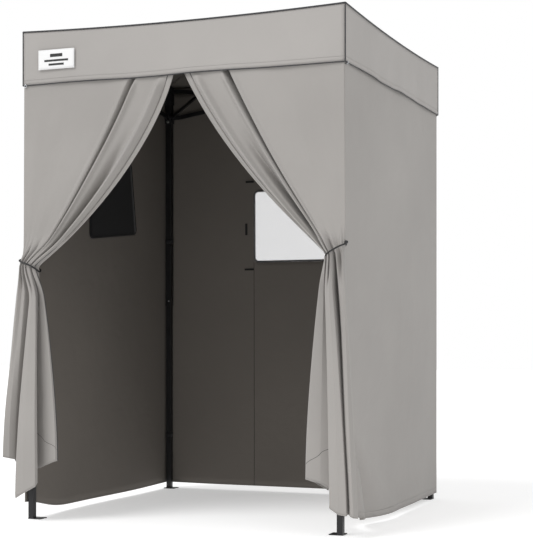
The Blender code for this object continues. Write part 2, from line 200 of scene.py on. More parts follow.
def paint_frame():
    """Gives every node of the frame its material, by its name."""
    kinds = (
        (("outer_leg", "inner_leg", "bar_", "roof_strut"), POWDER),
        (("top_bracket", "slider_back", "slider_front", "roof_hub"), NYLON),
        (("slider_latch", "snap_button"), ZINC),
    )
    for name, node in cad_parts.items():
        for starts, paint in kinds:
            if name.startswith(starts):
                for slot in node.material_slots:
                    slot.material = paint


# Meshes


def finish_mesh(name, mesh, paints, body, replaced=(), thick=0.0, offset=-1.0):
    """An object from a mesh, riding a body. With thick it is cloth, its second paint on the inside."""
    made = bpy.data.objects.new(name, mesh)
    bpy.context.scene.collection.objects.link(made)
    for paint in paints:
        mesh.materials.append(paint)
    for face in mesh.polygons:
        face.use_smooth = True
    if thick:
        shell = made.modifiers.new("thickness", "SOLIDIFY")
        shell.thickness = thick
        shell.offset = offset
        shell.use_even_offset = False
        if len(paints) > 1:
            shell.material_offset = 1
    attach(made, body)
    if replaced:
        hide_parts(*replaced)
    return made


def grid_mesh(name, rows, keep=None, closed=False):
    """A mesh through rows of points. keep(row, column) says which faces to make."""
    mesh = bpy.data.meshes.new(name)
    across = len(rows[0])
    points = [p for row in rows for p in row]
    faces = []
    for i in range(len(rows) - 1):
        for j in range(across if closed else across - 1):
            k = (j + 1) % across
            if keep is None or keep(i, j):
                faces.append((i * across + j, i * across + k, (i + 1) * across + k, (i + 1) * across + j))
    mesh.from_pydata([tuple(p) for p in points], [], faces)
    shape = bmesh.new()
    shape.from_mesh(mesh)
    loose = [v for v in shape.verts if not v.link_faces]
    bmesh.ops.delete(shape, geom=loose, context="VERTS")
    shape.to_mesh(mesh)
    shape.free()
    return mesh


def tube(name, path, radius, paint, body, sides=8, closed=False):
    """A round tube along a list of points, closed at its ends."""
    points = [Vector(p) for p in path]
    count = len(points)
    rings = []
    up = Vector((0, 0, 1))
    for i, p in enumerate(points):
        ahead = points[(i + 1) % count] if closed or i < count - 1 else p
        behind = points[i - 1] if closed or i > 0 else p
        along = (ahead - behind).normalized()
        if abs(along.dot(up)) > 0.95:
            up = Vector((0, 1, 0)) if abs(along.y) < 0.9 else Vector((1, 0, 0))
        side = along.cross(up).normalized()
        up = side.cross(along).normalized()
        turns = [2 * math.pi * n / sides for n in range(sides)]
        rings.append([p + radius * (side * math.cos(t) + up * math.sin(t)) for t in turns])
    if closed:
        rings.append(rings[0])
    mesh = grid_mesh(name, rings, closed=True)
    shape = bmesh.new()
    shape.from_mesh(mesh)
    if closed:
        bmesh.ops.remove_doubles(shape, verts=shape.verts, dist=1e-6)
    else:
        bmesh.ops.holes_fill(shape, edges=[e for e in shape.edges if e.is_boundary], sides=sides)
    bmesh.ops.recalc_face_normals(shape, faces=shape.faces)
    shape.to_mesh(mesh)
    shape.free()
    return finish_mesh(name, mesh, [paint], body)


def ribbon(name, path, width_way, width, out, thick, paint, body):
    """A flat strap along a path: width wide along width_way, with its back on the path."""
    half, out = Vector(width_way) * width / 2, Vector(out) * thick
    rows = [[p - half, p + half, p + half + out, p - half + out] for p in map(Vector, path)]
    mesh = grid_mesh(name, rows, closed=True)
    shape = bmesh.new()
    shape.from_mesh(mesh)
    bmesh.ops.holes_fill(shape, edges=[e for e in shape.edges if e.is_boundary], sides=4)
    bmesh.ops.recalc_face_normals(shape, faces=shape.faces)
    shape.to_mesh(mesh)
    shape.free()
    made = finish_mesh(name, mesh, [paint], body)
    for face in mesh.polygons:
        face.use_smooth = False
    return made


def smooth_step(t):
    t = min(max(t, 0.0), 1.0)
    return t * t * (3 - 2 * t)


def between(points, at):
    """The values at one place on a smooth curve through (place, values) pairs."""
    for (a, va), (b, vb) in zip(points, points[1:]):
        if at <= b:
            t = (at - a) / (b - a)
            t = 0.5 * t + 0.5 * smooth_step(t)
            return tuple(x + (y - x) * t for x, y in zip(va, vb))
    return points[-1][1]


def spread(count):
    return [i / (count - 1) for i in range(count)]


def bump(at, middle, width):
    return math.exp(-(((at - middle) / width) ** 2))


# Each side of the tent is the front turned round its middle. along is in metres from the side's middle, from
# left to right as seen from outside.

TURNS = {"front": 0, "right": 90, "back": 180, "left": 270}


def on_side(side, along, out, z):
    """A point on a side: metres along it, out from the tent's middle, and up."""
    turn = math.radians(TURNS[side])
    cos, sin = math.cos(turn), math.sin(turn)
    return Vector((along * cos + out * sin, along * sin - out * cos + MIDDLE_Y, z))


def side_axis(side):
    return on_side(side, 1, 0, 0) - on_side(side, 0, 0, 0)


def side_out(side):
    return on_side(side, 0, 1, 0) - on_side(side, 0, 0, 0)


# Canopy


def eave_at(along):
    """Height of the eave, which sags between the corners."""
    return EAVE - EAVE_SAG * (1 - (along / HALF) ** 2)


ROOF_STEPS = 34
ROOF_TIP = 0.998  # how far up the slope the panels' points reach, as a share
ROOF_DIP = 0.012


def roof_point(side, a, up):
    """A point of a roof panel: a across it from its left edge, and up its slope, both as shares."""
    along = (2 * a - 1) * HALF * (1 - up)
    slack = 1 - (2 * a - 1) ** 2
    dip = ROOF_DIP * math.sin(math.pi * up) * slack
    z = eave_at(along) * (1 - up) + PEAK * up - dip - 0.001
    z -= EAVE_SAG * up * (1 - up) * slack
    return on_side(side, along, HALF * (1 - up), z)


def build_roof():
    """Four panels, each drawn tight over its ridges and dipping a little between them.

    Each panel is in two halves. A half rides the strut at the panel's other end, so that it hangs inside the
    valance when the frame is folded.
    """
    middle, peak = Vector((0, MIDDLE_Y, EAVE)), Vector((0, MIDDLE_Y, PEAK))
    heights = [i / ROOF_STEPS * ROOF_TIP for i in range(ROOF_STEPS + 1)]
    for n, side in enumerate(SIDES):
        near, far = LEFT_CORNERS[side], LEFT_CORNERS[SIDES[(n + 1) % 4]]
        for half, (strut, end) in enumerate(((far, -HALF), (near, HALF))):
            rows = [[roof_point(side, (share + half) / 2, up) for share in spread(21)] for up in heights]
            name = f"roof_cloth_{side}_{half}"
            body = "strut_" + strut
            mesh = grid_mesh(name, rows)
            panel = finish_mesh(name, mesh, [CANOPY_PAINTED_LIGHTER, INSIDE], body, [f"roof_{side}"], thick=CLOTH)
            corner = on_side(side, end, HALF, EAVE)
            pieces = [panel]
            if half == 0:
                line = [corner.lerp(peak, t) + Vector((0, 0, PROUD)) for t in spread(30)]
                pieces.append(tube(f"ridge_seam_{side}", line, 0.0016, OUTSIDE, body))
            for piece in pieces:
                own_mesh(piece)


def valance_out(along, down):
    """How far the valance stands out: held at its corners, and slack at its hem."""
    loose = 1 - (along / HALF) ** 2
    ripple = 0.0025 * math.sin(along * 13.0 + 1.0) + 0.0015 * math.sin(along * 31.0)
    return HALF + 0.001 + loose * down * (0.004 + ripple)


def valance_low(along):
    """Height of the valance's hem, which waves a little."""
    return VALANCE_LOW.z + 0.0025 * math.sin(along * 9.0) * (1 - (along / HALF) ** 2)


def fold_to_leg(piece):
    """Gives a side's piece its own copy of its mesh."""
    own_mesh(piece)


def build_valance():
    """The band round the canopy, with piping at its eave and corners, a near-black cord along its hem, and a
    ring under each corner.
    """
    for side in SIDES:
        body = "leg_" + LEFT_CORNERS[side]
        lines = [(2 * a - 1) * (HALF + 0.0008) for a in spread(73)]
        rows = []
        for d in spread(15):
            row = []
            for along in lines:
                top = eave_at(along) - 0.001
                z = top + (valance_low(along) - top) * d
                row.append(on_side(side, along, valance_out(along, d), z))
            rows.append(row)
        name = f"valance_{side}"
        mesh = grid_mesh(name, rows[::-1])
        cloth = finish_mesh(name, mesh, [CANOPY_PAINTED_LIGHTER, INSIDE], body, ["valance"], thick=CLOTH)
        eave = [on_side(side, a, HALF + 0.0015, eave_at(a) + PROUD) for a in lines]
        hem = [on_side(side, a, valance_out(a, 1) + PROUD, valance_low(a) - PROUD) for a in lines]
        stitch = [on_side(side, a, valance_out(a, 0.9) + 0.0004, valance_low(a) + 0.022) for a in lines]
        heights = [EAVE + (VALANCE_LOW.z - EAVE) * t for t in spread(12)]
        corner = [on_side(side, -HALF - 0.001, HALF + 0.001, z) for z in heights]
        pieces = [
            cloth,
            tube(f"eave_piping_{side}", eave, 0.0032, PIPING, body),
            tube(f"valance_hem_{side}", hem, 0.0022, PIPING, body),
            tube(f"valance_stitch_{side}", stitch, STITCH, OUTSIDE, body, sides=6),
        ]
        for piece in pieces:
            fold_to_leg(piece)
        tube(f"corner_piping_{side}", corner, 0.0026, PIPING, body)
        ring_at = on_side(side, -HALF + 0.012, HALF + 0.003, VALANCE_LOW.z - 0.003)
        grommet(f"valance_ring_{side}", ring_at, body)


def grommet(name, at, body, radius=0.006):
    """A small metal ring under a valance corner."""
    turns = [2 * math.pi * i / 20 for i in range(20)]
    ring = [at + Vector((radius * math.cos(t), 0, radius * math.sin(t))) for t in turns]
    tube(name, ring, 0.0018, ZINC, body, closed=True)


LABEL_FRONT = 0.0075  # how far the patch stands in front of its node
LABEL_BARS = ((0.24, 0.42, 0.10), (0.44, 0.66, 0.10), (0.70, 0.34, 0.16))  # shares: height, width, thickness


def build_label():
    """A plain woven patch with three blank bars where print would be."""
    low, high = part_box("label_patch")
    body, slot = "leg_front_left", "label_patch"
    front = low.y - LABEL_FRONT
    middle, width, tall = (low.x + high.x) / 2, high.x - low.x, high.z - low.z
    bowed = [(low.x + width * a, front - 0.0006 * math.sin(math.pi * a)) for a in spread(15)]
    rows = [[Vector((x, y, low.z + tall * up)) for x, y in bowed] for up in spread(7)]
    mesh = grid_mesh("label_cloth", rows)
    pieces = [finish_mesh("label_cloth", mesh, [LABEL], body, ["label_patch"], thick=0.0009)]
    for n, (up, wide, thick) in enumerate(LABEL_BARS):
        z = low.z + tall * up
        line = [Vector((middle + width * wide * (a - 0.5), front - 0.0008, z)) for a in spread(8)]
        name = f"label_bar_{n}"
        pieces.append(ribbon(name, line, (0, 0, 1), tall * thick, (0, -1, 0), 0.0005, LABEL_MARK, body))
    for piece in pieces:
        fold_to_leg(piece)


# Walls


PULLED = 0.62  # height up to which the right wall is pulled out beside the right curtain
FAN_TOP = 0.50  # height where the folds in that corner start
FAN = ((0.34, 0.12, 0.040), (0.74, 0.20, -0.034), (1.3, 0.28, 0.014))  # each fold's slant, width and height
HEM_LIFTS = {"right": 0.048, "left": 0.045}  # how far the hem rises at a wall's front end


def wall_flare(side, along, z):
    """How far a wall stands out from flat: slack low down, and pulled out beside the right curtain."""
    low = smooth_step(1 - (z - HEM) / 0.9)
    billow = 0.007 * low * math.sin(along * 5.0 + 0.6) * (1 - (along / WALL) ** 2)
    slack = noise.noise(Vector((along * 1.6, z * 1.1, len(side)))) * (1 - (along / WALL) ** 4)
    billow += 0.006 * slack * smooth_step((WALL_TOP - z) / 0.3)
    if side != "right":
        return billow
    edge = WALL + along
    pulled = 0.040 * smooth_step(1 - edge / 0.13) * smooth_step(1 - (z - HEM) / PULLED)
    slant = edge / max(0.02, FAN_TOP - z)
    folds = sum(height * bump(slant, middle, width) for middle, width, height in FAN)
    return billow + pulled + folds * smooth_step((FAN_TOP - z) / 0.38)


def wall_hem(side, along):
    """Height of a wall's hem."""
    bow = 1 - (along / WALL) ** 2
    if side == "back":
        return HEM - 0.004 * bow
    front = {"right": -1, "left": 1}[side]
    near = smooth_step(1 - (WALL - along * front) / 0.45)
    return HEM + HEM_LIFTS[side] * near ** 2 - 0.005 * bow


def wall_grid(side, window):
    """Columns and rows of a wall. They take in the window's edges, so that it is a real hole."""
    columns = [(2 * a - 1) * WALL for a in spread(121)]
    heights = [HEM + (WALL_TOP - HEM) * h for h in spread(61)]
    if window:
        for value, line in zip(window, (columns, heights, columns, heights)):
            nearest = min(range(len(line)), key=lambda i: abs(line[i] - value))
            line[nearest] = value
    return columns, heights


def window_box(side):
    """A window's place along its side and up."""
    low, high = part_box(f"window_{side}")
    if side == "back":
        return -high.x, low.z, -low.x, high.z
    return MIDDLE_Y - high.y, low.z, MIDDLE_Y - low.y, high.z


SKEW = {  # the left window hangs askew: how far each corner is moved along the wall and up
    (0, 0): (-0.020, 0.040),
    (0, 1): (0.034, 0.020),
    (1, 0): (0.000, -0.010),
    (1, 1): (0.000, 0.000),
}


def skewed(side, along, z):
    """Moves a point of the left wall with the slant of its window, and leaves the wall alone further away."""
    if side != "left":
        return along, z
    low_a, low_z, high_a, high_z = window_box("left")
    a, b = (along - low_a) / (high_a - low_a), (z - low_z) / (high_z - low_z)
    far = max(-a, a - 1, -b, b - 1, 0.0)
    fade = smooth_step(1 - far / 0.6)
    a, b = min(max(a, 0), 1), min(max(b, 0), 1)
    for (i, j), (move_a, move_z) in SKEW.items():
        share = (a if i else 1 - a) * (b if j else 1 - b) * fade
        along, z = along + move_a * share, z + move_z * share
    return along, z


def wall_point(side, along, z, proud=0.0):
    """A point of a wall, or of trim that stands proud of it."""
    share = (z - HEM) / (WALL_TOP - HEM)
    z = z + (wall_hem(side, along) - HEM) * (1 - share) ** 6
    along, z = skewed(side, along, z)
    return on_side(side, along, WALL + proud + wall_flare(side, along, z), z)


WALL_BODIES = {"back": "leg_back_right", "right": "leg_back_right", "left": "leg_back_left"}


def fold_wall(piece):
    """Gives a wall's piece its own copy of its mesh."""
    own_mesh(piece)


def build_wall(side, window=None):
    """A wall's cloth with its hem. A window is a hole in it."""
    columns, heights = wall_grid(side, window)
    rows = [[wall_point(side, along, z) for along in columns] for z in heights]

    def solid(i, j):
        along, z = (columns[j] + columns[j + 1]) / 2, (heights[i] + heights[i + 1]) / 2
        return not (window and window[0] < along < window[2] and window[1] < z < window[3])

    name = f"wall_cloth_{side}"
    body = WALL_BODIES[side]
    mesh = grid_mesh(name, rows, solid)
    cloth = finish_mesh(name, mesh, [OUTSIDE, INSIDE], body, [f"wall_{side}"], thick=CLOTH)
    hem = [wall_point(side, a, HEM + PROUD, -PROUD) for a in columns]
    stitch = [wall_point(side, a, HEM + 0.025, 0.0003) for a in columns]
    pieces = [
        cloth,
        tube(f"wall_hem_{side}", hem, ROLL, OUTSIDE, body),
        tube(f"wall_hem_stitch_{side}", stitch, STITCH, OUTSIDE, body, sides=6),
    ]
    for piece in pieces:
        fold_wall(piece)


def rounded(low_a, low_z, high_a, high_z, radius, steps=6):
    """Points round a rectangle with round corners."""
    points = []
    corners = ((high_a, high_z), (low_a, high_z), (low_a, low_z), (high_a, low_z))
    for (a, z), start in zip(corners, (0, 90, 180, 270)):
        ca = a - radius if a == high_a else a + radius
        cz = z - radius if z == high_z else z + radius
        for i in range(steps + 1):
            turn = math.radians(start + 90 * i / steps)
            points.append((ca + radius * math.cos(turn), cz + radius * math.sin(turn)))
    return points


WINDOW_IN = -0.003  # how far inside the wall's outer face a window's panel lies
WINDOW_MARGIN = 0.010
WINDOW_ROUND = 0.030  # radius of a panel's corners
BINDING_ROUND = 0.026


def build_window(side, window, paint, edging):
    """A window's panel over its hole, on the wall's inside, with bound edges."""
    body = WALL_BODIES[side]
    low_a, low_z, high_a, high_z = window
    left, bottom = low_a - WINDOW_MARGIN, low_z - WINDOW_MARGIN
    width, tall = high_a - low_a + 2 * WINDOW_MARGIN, high_z - low_z + 2 * WINDOW_MARGIN
    ends = (0.0, 0.002, 0.006, 0.012, 0.020)
    straight = [WINDOW_ROUND + (tall - 2 * WINDOW_ROUND) * share for share in spread(13)]
    rows = []
    for up in [*ends, *straight, *(tall - end for end in ends[::-1])]:
        in_round = max(0.0, WINDOW_ROUND - min(up, tall - up))
        short = WINDOW_ROUND - math.sqrt(WINDOW_ROUND ** 2 - in_round ** 2)
        places = [left + short + (width - 2 * short) * a for a in spread(17)]
        rows.append([wall_point(side, along, bottom + up, WINDOW_IN) for along in places])
    name = f"window_panel_{side}"
    mesh = grid_mesh(name, rows)
    panel = finish_mesh(name, mesh, [paint], body, [f"window_{side}"], thick=0.0006)
    pieces = [panel]
    bindings = (("inside", WINDOW_IN - 0.0015, 0.006, edging), ("outside", 0.0006, 0.004, OUTSIDE))
    for place, proud, reach, kind in bindings:
        outline = rounded(low_a - reach, low_z - reach, high_a + reach, high_z + reach, BINDING_ROUND)
        path = [wall_point(side, a, z, proud) for a, z in outline]
        pieces.append(tube(f"window_binding_{place}_{side}", path, 0.0022, kind, body, closed=True))
    for piece in pieces:
        fold_wall(piece)


def strip(name, side, low_a, low_z, high_a, high_z, proud=-0.004, thick=-0.0018):
    """A strip of hook-and-loop or webbing on a wall's inside."""
    body = WALL_BODIES[side]
    long_up = high_z - low_z > high_a - low_a
    middle_a, middle_z = (low_a + high_a) / 2, (low_z + high_z) / 2
    if long_up:
        path = [wall_point(side, middle_a, low_z + (high_z - low_z) * t, proud) for t in spread(6)]
        way, width = side_axis(side), high_a - low_a
    else:
        path = [wall_point(side, low_a + (high_a - low_a) * t, middle_z, proud) for t in spread(6)]
        way, width = Vector((0, 0, 1)), high_z - low_z
    made = ribbon(name, path, way, width, side_out(side), thick, WEBBING, body)
    fold_wall(made)


def build_walls():
    back, left = window_box("back"), window_box("left")
    build_wall("back", back)
    build_wall("left", left)
    build_wall("right")
    build_window("back", back, FILM, PIPING)
    build_window("left", left, BLACK_MESH, BLACK_MESH)
    low_a, low_z, high_a, high_z = back
    hook_strips = (  # each one's middle, width and height
        (high_a + 0.050, high_z - 0.190, 0.012, 0.060),
        (high_a + 0.035, low_z - 0.045, 0.050, 0.010),
        (high_a + 0.030, high_z + 0.055, 0.045, 0.010),
        (low_a - 0.050, high_z - 0.210, 0.012, 0.055),
    )
    for n, (a, z, wide, tall) in enumerate(hook_strips):
        strip(f"hook_strip_{n}", "back", a - wide / 2, z - tall / 2, a + wide / 2, z + tall / 2)
    strip("window_toggle", "back", high_a - 0.115, high_z - 0.03, high_a - 0.105, high_z + 0.006, -0.006)
    strip("wall_seam_low", "back", high_a + 0.008, HEM, high_a + 0.010, low_z - 0.01, -0.0015, -0.0006)


# Curtains. Shares run across the cloth, from 0 at the tent's corner to 1 at the doorway's edge. A section's
# rows are (share, distance from the doorway's middle, depth out of the curtains' plane), and a hem's add a
# height.

TOP_Z = VALANCE_LOW.z + 0.004
TOP_SIDE = 0.732  # distance of a curtain's outer edge from the doorway's middle, at the valance
TUCK = 0.735  # share where each curtain is tucked under itself, from the valance to the tie
ZIP = 0.964  # share where the zip runs
TIE_SHARE = 0.46  # share of the way down a curtain where its tie is


def tie_height(name):
    low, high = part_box(f"curtain_tie_{name}")
    return (low.z + high.z) / 2


# Per curtain: how near the doorway's middle its edge starts, how much that edge sags, its tie's height, where
# the soft valley runs, and its sections at the tie, just below it and at the hem.
CURTAINS = {
    "left": {
        "edge": 0.016,
        "sag": 0.60,
        "tie_z": tie_height("left"),
        "valley": 0.85,
        "tie": (
            (0.00, 0.735, 0.002),
            (0.12, 0.734, 0.030),
            (0.30, 0.728, 0.048),
            (0.38, 0.724, 0.022),
            (0.46, 0.720, 0.046),
            (0.56, 0.708, 0.012),
            (0.62, 0.704, 0.050),
            (0.70, 0.696, 0.060),
            (TUCK, 0.690, 0.034),
            (0.76, 0.686, 0.060),
            (0.81, 0.676, 0.056),
            (0.85, 0.668, 0.022),
            (0.90, 0.666, 0.052),
            (0.95, 0.660, 0.044),
            (1.00, 0.652, 0.014),
        ),
        "below": (
            (0.00, 0.735, 0.002),
            (0.07, 0.738, 0.012),
            (0.14, 0.741, 0.030),
            (0.30, 0.726, 0.048),
            (0.38, 0.714, 0.038),
            (0.47, 0.696, 0.046),
            (0.55, 0.668, -0.006),
            (0.60, 0.662, 0.034),
            (0.62, 0.658, 0.054),
            (0.71, 0.652, 0.060),
            (0.80, 0.647, 0.054),
            (0.83, 0.650, 0.034),
            (0.85, 0.654, 0.010),
            (0.90, 0.650, 0.020),
            (0.95, 0.648, 0.022),
            (0.965, 0.648, 0.016),
            (0.98, 0.654, 0.010),
            (1.00, 0.658, 0.004),
        ),
        "hem": (
            (0.00, 0.735, 0.004, 0.12),
            (0.03, 0.744, 0.006, 0.20),
            (0.07, 0.772, 0.022, 0.272),
            (0.14, 0.799, 0.066, 0.276),
            (0.22, 0.792, 0.078, 0.275),
            (0.38, 0.770, 0.068, 0.270),
            (0.47, 0.752, 0.046, 0.264),
            (0.55, 0.738, -0.006, 0.255),
            (0.59, 0.744, 0.030, 0.190),
            (0.61, 0.739, 0.064, 0.120),
            (0.64, 0.728, 0.080, 0.100),
            (0.71, 0.690, 0.084, 0.122),
            (0.79, 0.632, 0.081, 0.152),
            (0.81, 0.628, 0.068, 0.170),
            (0.83, 0.650, 0.044, 0.21),
            (0.85, 0.668, 0.014, 0.22),
            (0.90, 0.620, 0.026, 0.238),
            (0.95, 0.560, 0.033, 0.262),
            (0.965, 0.555, 0.022, 0.262),
            (0.98, 0.600, 0.008, 0.25),
            (1.00, 0.655, 0.002, 0.225),
        ),
    },
    "right": {
        "edge": 0.032,
        "sag": 0.40,
        "tie_z": tie_height("right"),
        "valley": 0.82,
        "tie": (
            (0.00, 0.735, 0.002),
            (0.12, 0.735, 0.022),
            (0.26, 0.730, 0.030),
            (0.36, 0.718, 0.008),
            (0.44, 0.706, 0.032),
            (0.53, 0.694, 0.004),
            (0.60, 0.690, 0.040),
            (0.68, 0.686, 0.050),
            (TUCK, 0.681, 0.024),
            (0.76, 0.679, 0.056),
            (0.81, 0.674, 0.050),
            (0.85, 0.669, 0.014),
            (0.90, 0.667, 0.046),
            (0.95, 0.665, 0.038),
            (1.00, 0.662, 0.010),
        ),
        "below": (
            (0.00, 0.735, 0.002),
            (0.08, 0.737, 0.020),
            (0.16, 0.735, 0.034),
            (0.30, 0.727, 0.040),
            (0.43, 0.708, 0.036),
            (0.53, 0.684, -0.020),
            (0.57, 0.683, 0.028),
            (0.60, 0.681, 0.052),
            (0.70, 0.673, 0.060),
            (0.80, 0.661, 0.054),
            (0.83, 0.666, 0.030),
            (0.85, 0.670, -0.006),
            (0.90, 0.656, 0.026),
            (0.95, 0.652, 0.030),
            (0.965, 0.653, 0.016),
            (0.98, 0.664, 0.002),
            (1.00, 0.670, -0.008),
        ),
        "hem": (
            (0.00, 0.768, 0.000, 0.076),
            (0.08, 0.794, 0.028, 0.078),
            (0.16, 0.804, 0.056, 0.080),
            (0.29, 0.793, 0.080, 0.084),
            (0.43, 0.780, 0.074, 0.088),
            (0.53, 0.765, 0.050, 0.095),
            (0.57, 0.763, 0.066, 0.094),
            (0.60, 0.764, 0.080, 0.090),
            (0.70, 0.733, 0.085, 0.095),
            (0.79, 0.696, 0.082, 0.118),
            (0.81, 0.692, 0.068, 0.135),
            (0.83, 0.700, 0.046, 0.16),
            (0.85, 0.690, 0.014, 0.18),
            (0.90, 0.640, 0.028, 0.210),
            (0.95, 0.580, 0.034, 0.224),
            (0.965, 0.575, 0.022, 0.224),
            (0.98, 0.610, 0.008, 0.21),
            (1.00, 0.665, 0.002, 0.18),
        ),
    },
}


def section_at(rows, share):
    """Distance, depth and any height of a section at one share across it."""
    return between([(row[0], tuple(row[1:])) for row in rows], share)


def crease(at, middle, width):
    """A sharp fold: 1 along its line, and 0 from width away."""
    return max(0.0, 1 - abs(at - middle) / width) ** 1.4


def pleats(s, t, valley_at):
    """Depth of the folds above the tie: the tuck, and a soft valley between it and the doorway's edge."""
    tuck = -0.044 * crease(s, TUCK, 0.010 + 0.016 * (1 - t) ** 2)
    beside = 0.006 * bump(s, TUCK - 0.028, 0.018) + 0.013 * bump(s, TUCK + 0.030, 0.015)
    valley_at = valley_at + 0.02 * (1 - t)
    valley = -0.064 * smooth_step((t - 0.10) / 0.70) ** 1.5 * bump(s, valley_at, 0.042 - 0.020 * t)
    ridge = 0.025 * bump(s, 0.928, 0.024)
    groove = -0.008 * crease(s, ZIP, 0.010)
    return tuck, beside + valley + ridge + groove


def above_tie(shape, hand, s, t):
    """Distance, depth and height of a point above the tie, t of the way down to it."""
    tie_x, tie_depth = section_at(shape["tie"], s)
    sag = shape["sag"] * max(0.0, (s - 0.45) / 0.55) ** 1.3
    pull = (1 - sag) * t + sag * t * t
    flat = TOP_SIDE + (shape["edge"] - TOP_SIDE) * s
    gathered = smooth_step((t - 0.78) / 0.22)
    clear = smooth_step(t / 0.07)
    tuck, soft = pleats(s, t, shape["valley"])
    slack = 0.019 * noise.noise(Vector((s * 2.4 + hand, t * 2.2, 0.3))) * math.sin(math.pi * min(1, t + 0.1))
    slack *= smooth_step(s / 0.15) * (1 - 0.6 * smooth_step((s - 0.6) / 0.2))
    folds = 0.003 * math.sin(s * 40.0) * smooth_step((t - 0.80) / 0.15)
    folds *= 1 - smooth_step((s - 0.6) / 0.1)
    depth = (tuck + (soft + slack + folds) * clear) * (1 - gathered)
    depth += tie_depth * gathered * gathered + folds * gathered
    return flat + (tie_x - flat) * pull, depth, TOP_Z + (shape["tie_z"] - TOP_Z) * t


def below_tie(shape, s, t):
    """Distance, depth and height of a point below the tie, t of the way down to the hem."""
    part = smooth_step(t / 0.16)
    tie, under = section_at(shape["tie"], s), section_at(shape["below"], s)
    start_x, start_depth = (a + (b - a) * part for a, b in zip(tie, under))
    low_x, low_depth, low_z = section_at(shape["hem"], s)
    opened = 1 - (1 - t) ** (1 + 0.7 * s)
    depth = start_depth + (low_depth - start_depth) * smooth_step(t * 1.25)
    wave = math.sin(t * 6 + s * 8) * math.sin(math.pi * t)
    depth += 0.004 * wave * (1 - smooth_step((s - 0.5) / 0.05))
    return start_x + (low_x - start_x) * opened, depth, shape["tie_z"] + (low_z - shape["tie_z"]) * t


def curtain_point(hand, s, v, proud=0.0):
    """A point of a curtain: s across the cloth from its corner, v down it, with the tie at v = TIE_SHARE."""
    shape = CURTAINS["left" if hand < 0 else "right"]
    if v <= TIE_SHARE:
        x, depth, z = above_tie(shape, hand, s, v / TIE_SHARE)
    else:
        x, depth, z = below_tie(shape, s, (v - TIE_SHARE) / (1 - TIE_SHARE))
    grain = noise.noise(Vector((s * 9.0 + hand * 3, v * 7.0, 1.7)))
    depth += 0.0018 * grain * smooth_step(s / 0.08) * smooth_step(v / 0.05)
    return Vector((hand * x, MIDDLE_Y - WALL - depth - 0.001 - proud, z))


def build_curtain(hand):
    """A curtain's cloth with its edge, zip and hem, and its tie."""
    name = "left" if hand < 0 else "right"
    body = "leg_front_" + name
    shares = sorted({round(x, 5) for x in spread(111)} | {round(0.66 + 0.34 * x, 5) for x in spread(151)})
    behind_valance = Vector((0, 0.001, WALL_TOP - TOP_Z - 0.016))
    rows = [[curtain_point(hand, s, 0.0) + behind_valance for s in shares]]
    rows += [[curtain_point(hand, s, v) for s in shares] for v in spread(140)]
    if hand > 0:
        rows.reverse()
    mesh = grid_mesh(f"curtain_cloth_{name}", rows)
    paints, replaced = [OUTSIDE, OUTSIDE], [f"curtain_{name}"]
    cloth = finish_mesh(f"curtain_cloth_{name}", mesh, paints, body, replaced, thick=CLOTH)
    edge = [curtain_point(hand, 0.997, v) for v in spread(120)]
    zip_line = [curtain_point(hand, ZIP, v, 0.0004) for v in spread(120)]
    hem = [curtain_point(hand, s, 0.9995) for s in shares]
    hem_stitch = [curtain_point(hand, s, 0.978, 0.0006) for s in shares]
    # A near-black line along the fold where the curtain's lower corner turns over. It is painted shade for
    # the fold's edge, in the piping's paint.
    turned = [curtain_point(hand, 0.862 + 0.125 * t, 0.905 + 0.082 * t, PROUD) for t in spread(40)]
    pieces = [
        cloth,
        tube(f"curtain_edge_{name}", edge, 0.0028, OUTSIDE, body),
        tube(f"curtain_zip_{name}", zip_line, 0.0024, PIPING, body, sides=6),
        tube(f"curtain_hem_{name}", hem, ROLL, OUTSIDE, body),
        tube(f"curtain_hem_stitch_{name}", hem_stitch, STITCH, OUTSIDE, body, sides=6),
        tube(f"curtain_turned_edge_shade_{name}", turned, 0.0012, PIPING, body, sides=6),
    ]
    for piece in pieces:
        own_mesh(piece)
    build_tie(hand, body)


def smooth_path(route, steps=8):
    """A smooth curve through the points of a route."""
    path = []
    for i in range(len(route) - 1):
        p0, p1 = route[max(i - 1, 0)], route[i]
        p2, p3 = route[i + 1], route[min(i + 2, len(route) - 1)]
        first, second, third = p2 - p0, 2 * p0 - 5 * p1 + 4 * p2 - p3, 3 * p1 - p0 - 3 * p2 + p3
        for k in range(steps):
            t = k / steps
            path.append(0.5 * (2 * p1 + first * t + second * t * t + third * t ** 3))
    return path + [route[-1]]


BALL = 0.0085  # radius of a tie's ball toggle


